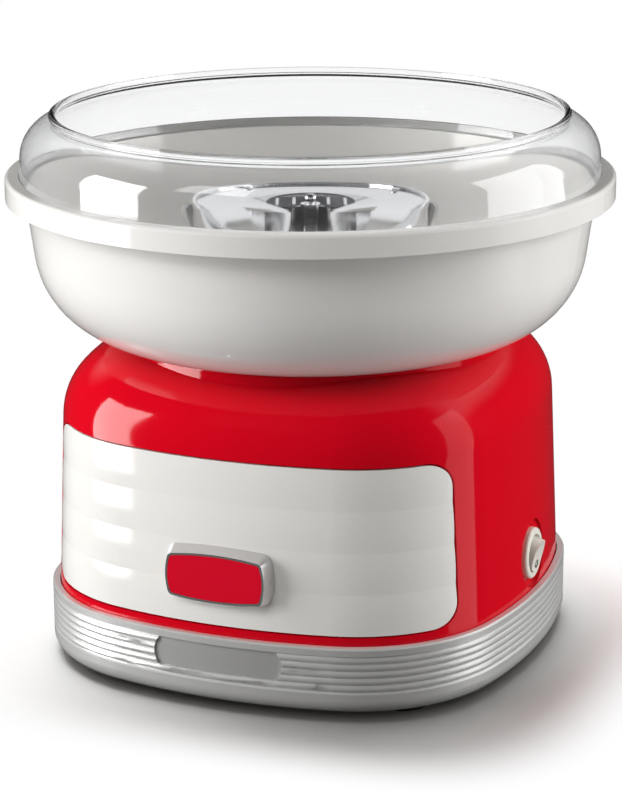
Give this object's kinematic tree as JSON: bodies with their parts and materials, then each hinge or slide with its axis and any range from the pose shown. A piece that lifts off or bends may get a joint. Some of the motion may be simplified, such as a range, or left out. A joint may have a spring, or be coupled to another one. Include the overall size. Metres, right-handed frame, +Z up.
{
  "type": "cotton candy machine",
  "caption": "Electric countertop cotton candy machine: ribbed base, glossy rounded housing, wide bowl with a clear splash ring, spinning heater-fed head, and a round rocker switch.",
  "frame": {"origin": "centre of the footprint on the table, under the spindle", "axes": "+Z up along the spindle, -Y out of the front with the pale panel, +X towards the side with the switch"},
  "size_m": [0.296, 0.296, 0.267],
  "materials": {
    "silver_paint": "satin silver paint on moulded plastic",
    "plate_metal": "brushed bare plate",
    "cover_plastic": "fine texture",
    "rubber": "matt black",
    "zinc": "zinc plated",
    "board": "paper laminate",
    "component_black": "moulded",
    "housing_red": "high gloss",
    "panel_white": "high gloss",
    "chrome_plastic": "bright plated",
    "inlay_red": "gloss",
    "switch_ring": "gloss",
    "switch_white": "gloss",
    "brass": "bare",
    "tower_plastic": "heat resistant moulding",
    "aluminium_sheet": "spun, satin",
    "heater_steel": "heat darkened sheath",
    "ceramic": "white ceramic",
    "steel_sheet": "pressed sheet",
    "ferrite": "sintered ferrite",
    "carbon": "carbon brush",
    "bronze": "sintered bronze",
    "polished_steel": "mirror polished stainless steel",
    "copper": "copper",
    "fan_plastic": "moulded nylon",
    "bowl_white": "high gloss",
    "clear_plastic": "clear plastic"
  },
  "bodies": {
    "base": {"base_band": "silver_paint", "nameplate": "plate_metal", "bottom_cover": "cover_plastic", "rubber_feet": "rubber", "cover_screws": "zinc", "rectifier_board": "board", "rectifier_parts": "component_black", "upper_housing": "housing_red", "front_panel": "panel_white", "badge_frame": "chrome_plastic", "badge_inlay": "inlay_red", "switch_housing": "switch_ring", "switch_pin": "zinc", "switch_terminals": "brass", "cord_grommet": "rubber", "heater_tower": "tower_plastic", "tower_screws": "zinc", "heater_cup": "aluminium_sheet", "heater_element": "heater_steel", "heater_insulators": "ceramic", "heater_clips": "steel_sheet", "thermal_cutout": "component_black", "motor_plate": "steel_sheet", "motor_bushes": "rubber", "motor_screws": "zinc", "motor_can": "steel_sheet", "motor_magnets": "ferrite", "motor_end_cap": "tower_plastic", "motor_brushes": "carbon", "motor_bearings": "bronze"},
    "rotor": {"drive_shaft": "polished_steel", "drive_pin": "polished_steel", "shaft_collar": "brass", "armature_core": "steel_sheet", "armature_windings": "copper", "commutator": "copper", "cooling_fan": "fan_plastic"},
    "head": {"head_top_plate": "polished_steel", "head_bottom_dish": "polished_steel", "head_slot_band": "aluminium_sheet", "head_screws": "polished_steel", "head_hub": "polished_steel"},
    "bowl": {"bowl": "bowl_white"},
    "splash_ring": {"splash_ring": "clear_plastic"},
    "rocker": {"switch_rocker": "switch_white"}
  },
  "joints": [
    {"name": "spindle_turn", "type": "hinge", "parent": "base", "child": "rotor", "pos_m": [0, 0, 0.15], "axis": [0, 0, 1], "continuous": true},
    {"name": "head_lift", "type": "slide", "parent": "rotor", "child": "head", "axis": [0, 0, 1], "range_m": [0, 0.03]},
    {"name": "bowl_lift", "type": "slide", "parent": "base", "child": "bowl", "axis": [0, 0, 1], "range_m": [0, 0.08]},
    {"name": "ring_lift", "type": "slide", "parent": "bowl", "child": "splash_ring", "axis": [0, 0, 1], "range_m": [0, 0.06]},
    {"name": "rocker_tilt", "type": "hinge", "parent": "base", "child": "rocker", "pos_m": [0.11457, 0, 0.054], "axis": [0, -1, 0], "range_deg": [0, 26]}
  ]
}
